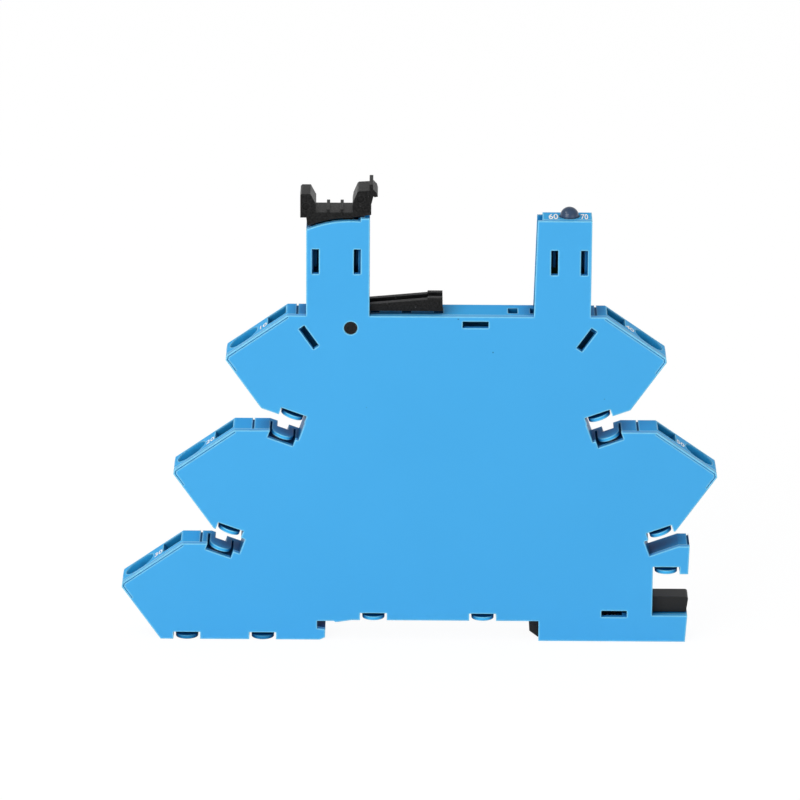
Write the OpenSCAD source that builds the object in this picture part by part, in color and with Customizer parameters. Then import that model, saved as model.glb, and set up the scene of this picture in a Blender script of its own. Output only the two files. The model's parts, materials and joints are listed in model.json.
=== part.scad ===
// Slim relay socket for a top-hat rail: two shells with five sloping wire arms, a relay bay
// between two towers, an ejector lever and a sprung rail latch. The origin is at the middle
// of the rail on the seat, X runs along the socket, Y across it (along the rail), Z is up.

/* [Housing] */
// Thickness of the socket along the rail
body_t = 6.2; // [6.2:0.1:7]
// Thickness of the front cover
cover_t = 1; // [0.9:0.05:1.1]
// Thickness of the rear shell's back wall
back_t = 0.8; // [0.7:0.05:0.9]
// Thickness of the rear shell's rim
rim_t = 1.1; // [1:0.05:1.2]
// Middle of the terminal arms, measured from the middle of the rail
mid_x = 2.6; // [2.2:0.1:3]
// Height of the relay floor above the rail seat
floor_z = 51.4; // [51:0.2:54]

/* [Rail] */
// Width of the rail
rail_w = 35; // [34.8:0.1:35.4]
// Thickness of the rail's flanges
rail_t = 1; // [0.9:0.05:1.1]
// Gap between the rail's edges and the socket
rail_gap = 0.3; // [0.2:0.05:0.4]
// Reach of the fixed lip under the rail
lip_reach = 1.3; // [1.1:0.1:1.5]
// Depth of the feet below the seat
foot_h = 3.4; // [3.3:0.1:3.8]

/* [Terminal arms] */
// Height from one terminal level to the next
level_z = 19.25; // [19:0.05:19.6]
// How much further out each lower level stands
level_x = 8.4; // [8.2:0.1:8.8]
// Reach of the top level's tips from the middle
tip_reach = 34.8; // [34.6:0.1:35.6]
// Slope of the wire faces in degrees
face_a = 35; // [34:0.5:36]
// Length of a wire face
face_l = 11.7; // [11.6:0.1:12]
// Height of the blunt nose below each tip
nose_h = 0.75; // [0.6:0.05:0.9]
// Slope of the slits between the levels in degrees
slit_a = 20; // [18:0.5:22]
// Length of each slit's floor along X
slit_l = 4.6; // [4.4:0.1:4.8]
// Width of the lower slits
slit_low = 2.65; // [2.5:0.05:2.8]
// Width of the upper slits
slit_high = 3.1; // [2.9:0.05:3.2]
// Length of the flat above the bottom wire faces
flat_low = 4.6; // [4.4:0.1:4.9]
// Length of the flat above the middle wire faces
flat_mid = 5.6; // [5.4:0.1:5.8]

/* [Wire entries] */
// Thickness of the block behind a wire face
block_d = 3.4; // [3.2:0.1:3.6]
// Length of a wire funnel along the face
funnel_l = 5.3; // [5:0.1:5.5]
// Width of a wire funnel
funnel_w = 4.4; // [4.2:0.05:4.5]
// Distance of the funnels behind the middle of the shell
funnel_y = 0.4; // [0.3:0.05:0.45]
// Width of the wire hole at the funnel's end
wire_w = 2.7; // [2.4:0.1:3]
// Distance from the tip to the funnel
funnel_x = 0.6; // [0.5:0.05:0.8]
// Distance from the tip to the screwdriver slot
driver_x = 7.9; // [7.7:0.1:8]
// Length of the screwdriver slot along the face
driver_l = 3.5; // [3.2:0.1:3.6]
// Width of the screwdriver slot
driver_w = 3.7; // [3.4:0.1:3.8]
// Distance of the screwdriver slots behind the middle of the shell
driver_y = 0.65; // [0.5:0.05:0.7]

/* [Relay bay] */
// Left wall of the relay bay
bay_x = -9.6; // [-9.8:0.1:-9.4]
// Length of the bay between the towers
bay_l = 26; // [25.8:0.1:26.2]
// Height of the towers above the relay floor
tower_h = 15.9; // [15.5:0.1:16.3]
// Width of the ejector tower
tower_l_w = 10; // [9.9:0.1:10.4]
// Width of the lamp tower
tower_r_w = 9; // [8.9:0.1:9.4]
// Lean of the lamp tower's inner wall at its top
tower_draft = 0.45; // [0.3:0.05:0.6]
// How deep the relay sits in each tower
nest_d = 0.8; // [0.7:0.05:0.9]
// Thickness of the relay that the bay takes
relay_t = 5; // [4.9:0.05:5.1]
// Thickness of the wall behind each relay end
nest_t = 1; // [0.9:0.05:1.1]
// Length of a pin slot
pin_l = 1.5; // [1.4:0.05:1.6]
// Width of a pin slot
pin_w = 2.6; // [2.4:0.1:2.8]

/* [Rail latch] */
// Length of the stub arm over the latch beyond the bottom flat
stub_l = 1.8; // [1.6:0.1:2.2]
// Height of the stub arm's underside
stub_z = 8.2; // [8:0.1:8.4]
// Reach of the window's inner wall from the middle
window_reach = 33.4; // [33.3:0.1:33.6]
// Height of the shelf that the latch slides on
shelf_z = 1.05; // [1:0.05:1.1]
// Reach of the hook past the foot's wall
hook_reach = 1.5; // [1.4:0.1:1.6]
// Travel of the latch when it is pulled
latch_travel = 2.2; // [2:0.1:2.4]
// Height of the latch bar
latch_h = 2.3; // [2.1:0.1:2.4]
// Top of the finger lug
lug_z = 3.75; // [3.7:0.05:4.4]
// Thickness of the latch along the rail
latch_t = 3.6; // [3.4:0.1:3.7]
// Outer diameter of the latch spring
coil_d = 2.5; // [2.3:0.1:2.6]
// Wire diameter of the latch spring
coil_wire = 0.36; // [0.3:0.02:0.4]
// Turns of the latch spring
coil_turns = 7; // [6:1:9]

/* [Ejector lever] */
// Distance of the pivot from the bay's wall
pivot_x = 2.95; // [2.85:0.05:3.05]
// Depth of the pivot below the relay floor
pivot_drop = 2; // [1.9:0.05:2.1]
// Radius of the pivot pins
pivot_r = 1; // [0.9:0.05:1.1]
// Radius of the hub
hub_r = 2; // [1.9:0.05:2.1]
// Width of the stem in the tower
stem_w = 1.7; // [1.6:0.05:1.8]
// Length of the ejecting fork past the bay's wall
fork_l = 11.6; // [11:0.1:12]
// Thickness of each fork prong
prong_t = 1; // [0.9:0.05:1.1]
// Height of the head's left lug above the ejector tower
lug_h = 4.3; // [4.1:0.1:4.6]
// Height of the head's saddle above the ejector tower
saddle_h = 1.3; // [1.2:0.05:1.4]
// Thickness of the head along the rail
head_t = 5.2; // [5:0.1:5.6]
// Drop of the ejector tower's round top below the lamp tower
crown_drop = 0.2; // [0.1:0.05:0.3]

/* [Contacts] */
// Distance between neighbouring contact pins
pin_pitch = 5.04; // [5:0.02:5.08]
// First contact pin from the bay's wall
pin_first = 0.85; // [0.8:0.05:0.9]
// First coil pin from the bay's wall
coil_first = 22.7; // [22.5:0.1:22.9]
// Distance between the coil pins
coil_pitch = 3.5; // [3.4:0.05:3.6]
// Height of a pin contact
contact_h = 4.6; // [4.4:0.1:4.8]
// Sheet thickness of the pin contacts
contact_t = 0.3; // [0.25:0.05:0.35]
// Thickness of the bus bars
bar_t = 0.5; // [0.45:0.05:0.6]
// Width of the bus bars
bar_w = 2.8; // [2.6:0.1:2.9]
// Thickness of the clamp spring strip
clamp_t = 0.4; // [0.35:0.05:0.45]
// Width of the clamp spring strip
clamp_w = 3.9; // [3.8:0.05:4]
// Radius of the clamp spring's loop
clamp_r = 2.2; // [2.1:0.05:2.3]

/* [Indicator] */
// Diameter of the lamp
lamp_d = 3; // [2.8:0.1:3.2]
// Distance of the lamp from the lamp tower's inner wall
lamp_x = 5.45; // [5.3:0.05:5.5]
// Thickness of the circuit board
board_t = 0.7; // [0.6:0.05:0.75]
// Width of the circuit board
board_w = 5.1; // [4.9:0.1:5.2]
// Length of the circuit board
board_l = 33; // [32:0.5:34]

/* [Snaps] */
// Width of the cover's notches
notch_w = 4.3; // [4.2:0.05:4.4]
// Depth of the cover's notches
notch_d = 1.2; // [1.1:0.05:1.25]
// Width of the shell's tongues
tongue_w = 3.6; // [3.5:0.05:3.7]
// Thickness of the shell's tongues
tongue_t = 0.6; // [0.5:0.05:0.7]
// Length of the cover's snap slots
slot_l = 4.1; // [4:0.05:4.2]
// Width of the cover's snap slots
slot_w = 1.1; // [1.05:0.05:1.2]
// Thickness of the catches behind the snap slots
catch_t = 0.5; // [0.4:0.05:0.6]
// Height of the towers' snap slots above the relay floor
slot_z = 9; // [8.6:0.1:9.4]
// Distance of the slot over the latch from the window
latch_slot_x = 6.1; // [5.9:0.1:6.3]

/* [Fits] */
// Gap between sliding faces
slide_gap = 0.15; // [0.1:0.05:0.2]
// Gap round the pivot pins
pin_gap = 0.08; // [0.05:0.01:0.1]
// Gap between the lever's head and the tower
head_gap = 0.4; // [0.3:0.05:0.45]
// Gap between still parts that don't touch
rest_gap = 0.1; // [0.08:0.01:0.12]
// Room between a clamp spring and the walls below it
clamp_room = 1.75; // [1.6:0.05:1.9]

/* [Hidden] */
$fn = 48;
blue = [0.28, 0.67, 0.91];
black = [0.13, 0.13, 0.13];
steel = [0.72, 0.73, 0.75];
tinned = [0.83, 0.82, 0.78];
past = 0.5;                                  // how far a cut runs past what it cuts

// Planes across the socket
front_y = -body_t / 2;
rear_y = body_t / 2;
in_front_y = front_y + cover_t;
in_rear_y = rear_y - back_t;
mid_y = (in_front_y + in_rear_y) / 2;

// Rail and feet
rail_in = rail_w / 2 + rail_gap;
under_z = -rail_t - 2 * rail_gap + 0.1;      // top of the lip below the rail's flange

// Towers and pivot
bay_r = bay_x + bay_l;
tower_l = bay_x - tower_l_w;
tower_r = bay_r + tower_r_w;
tower_z = floor_z + tower_h;
pivot = [bay_x - pivot_x, floor_z - pivot_drop];
arc_r = tower_h + pivot_drop - crown_drop;
head_r = arc_r + head_gap;

// ---- Plane geometry ----

function unit(v) = v / norm(v);
function turned(v) = [-v[1], v[0]];
function along(a) = [cos(a), sin(a)];

// Where the line through p along d meets the line through q along e
function meet(p, d, q, e) =
    p + d * ((q - p) * turned(e)) / (d * turned(e));

// A corner b between a and c, moved in by d, with the inside on the left
function corner_in(a, b, c, d) =
    let (u = turned(unit(b - a)), v = turned(unit(c - b)), m = unit(u + v))
    b + m * d / (m * u);

// A closed outline, moved in by d all round
function inset(p, d) =
    let (n = len(p))
    [for (i = [0:n - 1]) corner_in(p[(i + n - 1) % n], p[i], p[(i + 1) % n], d)];

// One side of a strip of thickness t that follows an open path
function strip_side(p, h) =
    let (n = len(p) - 1)
    [for (i = [0:n])
        i == 0 ? p[0] + turned(unit(p[1] - p[0])) * h
        : i == n ? p[n] + turned(unit(p[n] - p[n - 1])) * h
        : corner_in(p[i - 1], p[i], p[i + 1], h)];

// The outline of a bent strip of thickness t
function strip(p, t) =
    let (a = strip_side(p, t / 2), b = strip_side(p, -t / 2))
    concat(b, [for (i = [len(a) - 1:-1:0]) a[i]]);

// Points on an arc round c from angle a to angle b
function arc(c, r, a, b, n) = [for (i = [0:n]) c + r * along(a + (b - a) * i / n)];

// A solid with a front-view outline, from y0 back to y1
module slab(p, y0, y1) {
    translate([0, y1, 0])
        rotate([90, 0, 0])
            linear_extrude(y1 - y0)
                polygon(p);
}

// A box between two front-view corners, from y0 back to y1
module block(x0, z0, x1, z1, y0, y1) {
    translate([x0, y0, z0])
        cube([x1 - x0, y1 - y0, z1 - z0]);
}

// ---- Terminal arms, level 0 at the bottom, side -1 left and 1 right ----

face_run = face_l * cos(face_a);
face_rise = face_l * sin(face_a);
function reach(k) = tip_reach + (2 - k) * level_x;
function flat_z(k) = floor_z - (2 - k) * level_z;
function tip_z(k) = flat_z(k) - face_rise;
function flat_len(k) = k == 0 ? flat_low : flat_mid;
function slit_w(k) = k == 0 ? slit_low : slit_high;

// Places as [reach from the middle, height]
function tip(k) = [reach(k), tip_z(k)];
function nose(k) = tip(k) + [nose_h * sin(face_a / 3), -nose_h * cos(face_a / 3)];
function flat_start(k) = [reach(k) - face_run, flat_z(k)];
function flat_end(k) = flat_start(k) - [flat_len(k), 0];
function slit_floor_end(k) = flat_end(k) - [slit_l, slit_l * tan(slit_a)];
function slit_roof_end(k) = slit_floor_end(k) + slit_w(k) * along(90 + slit_a);
function under_dir() = -along(90 - face_a);
function arm_low(k) =
    meet(nose(k), under_dir(), slit_roof_end(k - 1), along(slit_a));
function sharp_tip(k) = meet(nose(k), under_dir(), tip(k), along(180 - face_a));

// A place on one side of the socket
function at_side(side, p) = [mid_x + side * p[0], p[1]];
function all_at(side, list) = [for (p = list) at_side(side, p)];
function reversed(list) = [for (i = [len(list) - 1:-1:0]) list[i]];

// A place behind a wire face: s along the face from the tip, d in from the face
function behind(side, k, s, d) =
    at_side(side, tip(k) - s * [cos(face_a), -sin(face_a)] - d * [sin(face_a), cos(face_a)]);

// Outline of one side's arms from the foot up to the tower
function tips(k, plain) = plain ? [sharp_tip(k)] : [nose(k), tip(k)];
function slit(k) = [flat_end(k), slit_floor_end(k), slit_roof_end(k), arm_low(k + 1)];
function upper_arms(plain) =
    concat(tips(1, plain), [flat_start(1)], slit(1), tips(2, plain), [flat_start(2)]);
function foot_corner() =
    meet(nose(0), under_dir(), [0, -foot_h], [1, 0]);
function left_side(plain) =
    concat([foot_corner()], tips(0, plain), [flat_start(0)], slit(0), upper_arms(plain));
stub_reach = flat_end(0)[0] + stub_l;
stub_draft = 0.3;                            // lean of the foot's end and of the finger lug's
stub_end = [stub_reach, flat_z(0)];
foot_reach = stub_reach - slide_gap;
function stub(plain) = plain
    ? [[window_reach, -foot_h], [window_reach, stub_z]]
    : [[foot_reach - stub_draft, -foot_h], [foot_reach, shelf_z], [window_reach, shelf_z],
        [window_reach, stub_z], [foot_reach, stub_z], stub_end, flat_end(0)];
function right_side(plain) =
    concat(stub(plain), [slit_floor_end(0), slit_roof_end(0), arm_low(1)],
        upper_arms(plain));

// The rail slot from right to left; the plain form has no lip
nib_z = 0.35;
function rail_slot(plain) = plain
    ? [[-rail_in, -foot_h], [-rail_in, 0], [rail_in, 0], [rail_in, -foot_h]]
    : [[-rail_in + lip_reach - 0.9, -foot_h], [-rail_in + lip_reach, -foot_h + 0.4],
        [-rail_in + lip_reach, under_z - 0.15], [-rail_in, under_z], [-rail_in, -nib_z / 2],
        [-rail_in + 2.7, -nib_z / 2], [-rail_in + 2.9, -nib_z], [-rail_in + 3.3, -nib_z],
        [-rail_in + 5.6, 0], [rail_in, 0], [rail_in, -foot_h]];

// The towers from right to left; the plain form leaves the ejector tower open at its top
lip_z = tower_z + 0.2;
lip_w = 1.45;                                // width of the block beside the bay
function left_tower(plain) = plain
    ? [[bay_x, floor_z], [bay_x, tower_z + 4], [tower_l, tower_z + 4], [tower_l, floor_z]]
    : concat([[bay_x, floor_z], [bay_x, lip_z], [bay_x - lip_w, lip_z]],
        arc(pivot, arc_r, 90 - asin((pivot_x - lip_w) / arc_r),
            90 + asin((tower_l_w - pivot_x) / arc_r), 10),
        [[tower_l, floor_z]]);
function right_tower() =
    [[tower_r, floor_z], [tower_r, tower_z], [bay_r + tower_draft, tower_z],
        [bay_r, floor_z]];

// The whole outline, round by the right
function outline(plain) =
    concat(rail_slot(plain), all_at(1, right_side(plain)), right_tower(),
        left_tower(plain), all_at(-1, reversed(left_side(plain))));

// ---- Snap tongues and slots ----

// Each tongue: its middle on the outline, and the turn of its edge, 0 for a bottom edge
function on_slit_roof(side, k, r) =
    at_side(side, meet(slit_roof_end(k), along(slit_a), [r, 0], [0, 1]));
function on_slit_floor(side, k, r) =
    at_side(side, meet(slit_floor_end(k), along(slit_a), [r, 0], [0, 1]));
function tongue_in(k) = notch_w / 2 + (k == 0 ? 0.55 : 0);
function roof_r(k) = slit_roof_end(k)[0] + tongue_in(k);
function floor_r(k) = slit_floor_end(k)[0] + tongue_in(k) + 0.35;
edge_tongues = [
    [[mid_x - foot_corner()[0] + 4.2, -foot_h], 0],
    [[mid_x - foot_corner()[0] + 16.4, -foot_h], 0],
    [[-8.75, 0], 0],
    [[8.8, 0], 0],
    [[mid_x + window_reach + notch_w / 2, stub_z], 0],
    [on_slit_roof(-1, 0, roof_r(0)), slit_a],
    [on_slit_roof(-1, 1, roof_r(1)), slit_a],
    [on_slit_roof(1, 0, roof_r(0)), -slit_a],
    [on_slit_roof(1, 1, roof_r(1)), -slit_a]
];
floor_tongues = [
    [on_slit_floor(-1, 0, floor_r(0)), 180 + slit_a],
    [on_slit_floor(-1, 1, floor_r(1)), 180 + slit_a],
    [on_slit_floor(1, 1, floor_r(1)), 180 - slit_a]
];
tongues = concat(edge_tongues, floor_tongues);
tongue_root_y = in_rear_y - 0.4;             // where a tongue leaves the rim

back_notch_w = 1.9;
back_notch_y = 0.5;                          // where the notch behind a tongue begins

module at_tongue(t) {
    translate([t[0][0], 0, t[0][1]])
        rotate([0, t[1], 0])
            children();
}

// The notch in the cover's edge
module tongue_notch() {
    block(-notch_w / 2, -past, notch_w / 2, notch_d, front_y - past, in_front_y + past);
}

// The pocket in the rim, open to the outside, with a roof left above it
module tongue_pocket() {
    block(-notch_w / 2, -past, notch_w / 2, notch_d, in_front_y - past, tongue_root_y);
}

module tongue_roof() {
    block(-notch_w / 2 - 0.5, tongue_t, notch_w / 2 + 0.5, notch_d + 0.5,
        in_front_y, in_rear_y + past / 2);
}

// The notch in the back wall behind a tongue in a slit's floor
module back_notch() {
    block(-back_notch_w / 2, -past, back_notch_w / 2, notch_d - rest_gap * 2, back_notch_y,
        rear_y + past);
}

// The tongue itself, with a round free end level with the cover's face
module tongue() {
    r = tongue_w / 2;
    linear_extrude(tongue_t) {
        translate([0, front_y + r])
            circle(r);
        translate([-r, front_y + r])
            square([tongue_w, tongue_root_y + past / 2 - front_y - r]);
    }
}

// Each snap slot: its middle and the turn of its long side from upright
tower_slot_z = floor_z + slot_z;
catch_x = 1.95;                              // from the bay's wall to the slot beside it
slots = [
    [[tower_l + 1.45, tower_slot_z], 0],
    [[bay_x - catch_x, tower_slot_z], 0],
    [[bay_r + 3.15, tower_slot_z], 0],
    [[tower_r - 1.15, tower_slot_z], 0],
    [at_side(-1, [flat_start(2)[0] - 3.45, floor_z - 3.6]), -face_a],
    [at_side(1, [flat_start(2)[0] - 3, floor_z - 3.75]), face_a],
    [[7.2, floor_z - 1.35], 90]
];
// The last slot lies over the latch and has no catch behind it
latch_slot = [[mid_x + window_reach - latch_slot_x, shelf_z + 0.25], 90];

module at_slot(s) {
    translate([s[0][0], 0, s[0][1]])
        rotate([0, s[1], 0])
            children();
}

module snap_slot() {
    block(-slot_w / 2, -slot_l / 2, slot_w / 2, slot_l / 2, front_y - past,
        in_front_y + past);
}

// A catch of the shell that stands deep behind a slot of the cover
module snap_catch() {
    half_l = slot_l / 2 - catch_t;
    block(-catch_t / 2, -half_l, catch_t / 2, half_l, in_front_y + 3 * catch_t,
        in_rear_y + past / 2);
}

// ---- Wire entries ----

module at_face(side, k) {
    translate([mid_x, 0, 0])
        mirror([side > 0 ? 1 : 0, 0, 0])
            translate([-reach(k), mid_y, tip_z(k)])
                rotate([0, -face_a, 0])
                    children();
}

// The funnel narrows from the face to the wire hole: two half cones and a wedge between
module wire_funnel() {
    r = funnel_w / 2;
    w = wire_w / 2;
    run = funnel_l - funnel_w;
    for (i = [0, 1])
        translate([funnel_x + r + i * run, 0, -block_d + past])
            cylinder(r1 = w, r2 = r, h = block_d - past);
    translate([funnel_x + r, 0, 0])
        rotate([90, 0, 90])
            linear_extrude(run)
                polygon([[-w, -block_d + past], [w, -block_d + past], [r, 0], [-r, 0]]);
    for (i = [0, 1])
        translate([funnel_x + r + i * run, 0, 0]) {
            translate([0, 0, -past / 10])
                cylinder(r = r, h = past);
            translate([0, 0, -block_d - past])
                cylinder(r = w, h = 3 * past);
        }
    translate([funnel_x + r, -r, -past / 10])
        cube([run, funnel_w, past]);
    translate([funnel_x + r, -w, -block_d - past])
        cube([run, wire_w, 3 * past]);
}

module driver_slot() {
    translate([driver_x, driver_y - driver_w / 2, -block_d - past])
        cube([driver_l, driver_w, block_d + 2 * past]);
}

terminals = [[-1, 2], [-1, 1], [-1, 0], [1, 2], [1, 1]];

// The moulded block behind a wire face that carries its funnel and slot
module wire_block(side, k) {
    slab([behind(side, k, -0.3, 0.3), behind(side, k, -0.3, block_d),
        behind(side, k, face_l + 0.6, block_d), behind(side, k, face_l + 0.6, 0.6)],
        in_front_y, in_rear_y + past / 2);
}

// ---- Contacts, bars and clamps ----

contact_z = floor_z - rim_t - rest_gap - contact_h;
pins = concat([for (i = [0:2]) bay_x + pin_first + i * pin_pitch],
    [for (i = [0:1]) bay_x + coil_first + i * coil_pitch]);

// The bar stands in its clamp at this place along the face
bar_s = funnel_x + funnel_w / 2 + (funnel_l - funnel_w) + wire_w / 2 - 0.15;
bar_top = block_d + rest_gap;
bar_foot = 11.5;
knee = 3;

// The room behind a wire face at the clamp's edge, down to a wall through q at a slope
clamp_edge = funnel_x + 1.1;
function room_behind(k, q, slope) =
    let (p = tip(k) - clamp_edge * [cos(face_a), -sin(face_a)])
    norm(meet(p, under_dir(), q, along(slope)) - p) - rim_t / cos(face_a + slope);
window_d = min(room_behind(2, slit_roof_end(1), slit_a),
    room_behind(0, foot_corner(), 0)) - clamp_room;
window_h = 1.4;                              // from the window leg up to the other leg's end

// A bus bar from a pin contact to its clamp on the left
function bar_run(n, k) =
    let (q = behind(-1, k, bar_s, bar_foot))
    [[pins[n], contact_z], [pins[n], q[1] + knee], [pins[n] - knee, q[1]], q,
        behind(-1, k, bar_s, bar_top)];

// The lowest bar steps down behind the rail
low_run_z = 4;
function low_bar_run() =
    let (q = behind(-1, 0, bar_s, bar_foot), drop = low_run_z - q[1],
        x = -rail_in - rim_t - bar_t - knee)
    [[pins[2], contact_z], [pins[2], low_run_z + knee], [pins[2] - knee, low_run_z],
        [x, low_run_z], [x - drop, q[1]], q, behind(-1, 0, bar_s, bar_top)];

// The board stands in the lamp tower
board_x = bay_r + nest_d + nest_t + rest_gap;
board_y = mid_y + bar_w / 2;
board_top = tower_z - rim_t - 2.7;
board_low = board_top - board_l;
tail_x = board_x + 0.4 * board_w;

// Bars of the right arms end on the board
function top_right_run() =
    let (q = behind(1, 2, bar_s, bar_foot))
    [[tail_x, q[1]], q, behind(1, 2, bar_s, bar_top)];
function mid_right_run() =
    let (q = behind(1, 1, bar_s, bar_foot))
    [[tail_x, board_low + 2], [tail_x, q[1] + knee], [tail_x + knee, q[1]], q,
        behind(1, 1, bar_s, bar_top)];

// Links from the coil's pin contacts to the board
function link_run(n, drop) =
    [[pins[n], contact_z], [pins[n], contact_z - drop],
        [board_x + 1.2, contact_z - drop]];

module bent_strip(path, t, w) {
    slab(strip(path, t), mid_y - w / 2, mid_y + w / 2);
}

module bus_bar(n) {
    color(tinned)
        if (n == 0) bent_strip(bar_run(0, 2), bar_t, bar_w);
        else if (n == 1) bent_strip(bar_run(1, 1), bar_t, bar_w);
        else if (n == 2) bent_strip(low_bar_run(), bar_t, bar_w);
        else if (n == 3) bent_strip(top_right_run(), bar_t, bar_w);
        else bent_strip(mid_right_run(), bar_t, bar_w);
}

module coil_link(n) {
    color(tinned)
        bent_strip(link_run(3 + n, n == 0 ? 4 : 1.2), bar_t, bar_w);
}

// A folded contact that grips one flat relay pin
module pin_contact(n) {
    h = contact_h;
    t = contact_t;
    half = pin_l / 2;
    grip = 0.27 + t / 2;
    side = [[half, h], [grip, h * 0.8], [half, h * 0.55], [half, t / 2]];
    path = concat(side, reversed([for (p = side) [-p[0], p[1]]]));
    color(steel)
        translate([pins[n], 0, contact_z])
            bent_strip(path, t, bar_w - 0.4);
}

// A clamp spring: a leg on the bar, a loop, and a leg whose window holds bar and wire
module clamp_spring(n) {
    side = terminals[n][0];
    k = terminals[n][1];
    t = clamp_t;
    leg_s = bar_s + bar_t / 2 + t / 2;
    loop = [leg_s + clamp_r, -block_d - rest_gap - t - clamp_r];
    far = loop[0] + clamp_r;
    window_s = clamp_edge + 0.5;
    path = concat([[leg_s, window_h - window_d]], arc(loop, clamp_r, 180, 0, 12),
        [[far - 0.5, -window_d], [clamp_edge, -window_d]]);
    color(steel)
        at_face(side, k)
            difference() {
                translate([0, -mid_y, 0])
                    bent_strip(path, t, clamp_w);
                translate([window_s, -bar_w / 2 - rest_gap, -window_d - 1])
                    cube([leg_s + 0.7 - window_s, bar_w + 2 * rest_gap, 1.6]);
            }
}

// ---- Indicator and its board ----

lamp = bay_r + lamp_x;
lamp_flange = 0.2;                           // reach of the flange past the lamp
lamp_y = in_front_y + rest_gap + lamp_d / 2 + lamp_flange;

// The board has a cut-out round each snap catch that stands in its way
module circuit_board() {
    color([0.1, 0.35, 0.2])
        difference() {
            block(board_x, board_low, board_x + board_w, board_top, board_y,
                board_y + board_t);
            for (s = slots)
                at_slot(s)
                    block(-slot_w / 2, -slot_l / 2, slot_w / 2, slot_l / 2, board_y - past,
                        in_rear_y);
        }
}

// A domed lamp with a flange below the tower's top and two legs on the board
module indicator_led() {
    r = lamp_d / 2;
    flange_top = tower_z - rim_t - rest_gap;
    leg = 0.45;
    leg_low = board_top - 2;
    color([0.06, 0.12, 0.3]) {
        translate([lamp, lamp_y, 0]) {
            translate([0, 0, flange_top - 1])
                cylinder(r = r, h = tower_z - flange_top + 1);
            translate([0, 0, tower_z])
                intersection() {
                    sphere(r);
                    translate([-lamp_d, -lamp_d, -past / 10])
                        cube(2 * lamp_d);
                }
            translate([0, 0, flange_top - 1])
                cylinder(r = r + lamp_flange, h = 1);
        }
        for (side = [-1, 1]) {
            x = lamp + side * 1.27;
            block(x - leg / 2, leg_low, x + leg / 2, flange_top - 0.9, lamp_y - leg / 2,
                lamp_y + leg / 2);
            block(x - leg / 2, leg_low, x + leg / 2, leg_low + leg, lamp_y - leg / 2,
                board_y);
        }
    }
}

// A small part soldered on the board, with square ends and a body between
module board_part(z, length, size, round_body) {
    cap = 0.5;
    x = board_x + board_w / 2;
    for (end = [0, 1])
        block(x - size / 2, z + end * (length - cap), x + size / 2,
            z + end * (length - cap) + cap, board_y - size, board_y);
    if (round_body)
        translate([x, board_y - size / 2, z + cap / 2])
            cylinder(d = size * 0.85, h = length - cap);
    else
        block(x - size / 2 + 0.1, z + cap / 2, x + size / 2 - 0.1, z + length - cap / 2,
            board_y - size + 0.1, board_y - 0.1);
}

resistor_z = 22.5;                           // heights above the board's lower edge
coil_diode_z = 17.2;
guard_diode_z = 2.9;

module series_resistor() {
    color([0.2, 0.2, 0.22])
        board_part(board_low + resistor_z, 3.2, 1.6, false);
}

module coil_diode() {
    color([0.75, 0.4, 0.3])
        board_part(board_low + coil_diode_z, 3.6, 1.6, true);
}

module guard_diode() {
    color([0.75, 0.4, 0.3])
        board_part(board_low + guard_diode_z, 3.6, 1.6, true);
}

// ---- Shells ----

// Everything that is cut through both shells for the relay's nest
module relay_nest() {
    half = relay_t / 2 + rest_gap;
    slab([[bay_x - nest_d, floor_z], [bay_r + nest_d, floor_z],
        [bay_r + nest_d + tower_draft, tower_z + past],
        [bay_x - nest_d, tower_z + past]], -half, half);
}

latch_front_y = in_rear_y - 2 * rest_gap - latch_t;
latch_wall_x = mid_x + window_reach;
leg_x = rail_in + rim_t + 0.7;               // near side of the latch's leg
leg_w = 2.4;
spring_l = 9;
spring_end_x = leg_x + leg_w + spring_l + 2 * rest_gap;

rib_in = 2.6;                                // from a bus bar to the rib beside it

// Ribs inside the rear shell, drawn as front-view outlines
module ribs() {
    depth_y = in_rear_y + past / 2;
    // between the bars of the left arms
    for (n = [0, 1]) {
        k = 2 - n;
        low = behind(-1, k, bar_s, bar_foot)[1] - rib_in;
        bent_rib([[pins[n] + rib_in, contact_z + 3.4], [pins[n] + rib_in, low + knee],
            [pins[n] - knee, low], [at_side(-1, slit_roof_end(k - 1))[0] + 2.5, low]]);
    }
    // latch guides: the wall that the latch slides on and the rail above it
    block(spring_end_x, -foot_h + past, spring_end_x + 1.2, shelf_z, in_front_y, depth_y);
    block(latch_wall_x - rim_t, -foot_h + past, latch_wall_x, shelf_z, in_front_y,
        depth_y);
    block(rail_in + 0.4, shelf_z + latch_h + 2 * slide_gap, latch_wall_x - 0.4,
        shelf_z + latch_h + 2 * slide_gap + 1, in_front_y, depth_y);
    // walls behind the relay's ends
    block(bay_x - nest_d - nest_t, floor_z + 3.6, bay_x, tower_z, in_front_y, depth_y);
    block(bay_r, floor_z - 0.6, bay_r + nest_d + nest_t, tower_z - 0.5, in_front_y,
        depth_y);
    // bearing boss round the pivot
    translate([pivot[0], depth_y, pivot[1]])
        rotate([90, 0, 0])
            cylinder(r = pivot_r + 0.9, h = past / 2 + 0.15);
}

module bent_rib(path) {
    slab(strip(path, 0.8), in_front_y, in_rear_y + past / 2);
}

module rear_shell_body() {
    difference() {
        slab(outline(false), in_front_y, rear_y);
        slab(inset(outline(true), rim_t), in_front_y - past, in_rear_y);
    }
    ribs();
    for (t = terminals)
        wire_block(t[0], t[1]);
    for (t = tongues)
        at_tongue(t)
            tongue_roof();
    for (s = slots)
        at_slot(s)
            snap_catch();
}

// Pin slots in the relay floor
module pin_slots() {
    for (x = pins)
        block(x - pin_l / 2, floor_z - rim_t - past, x + pin_l / 2, floor_z + past,
            mid_y - pin_w / 2, mid_y + pin_w / 2);
}

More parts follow.
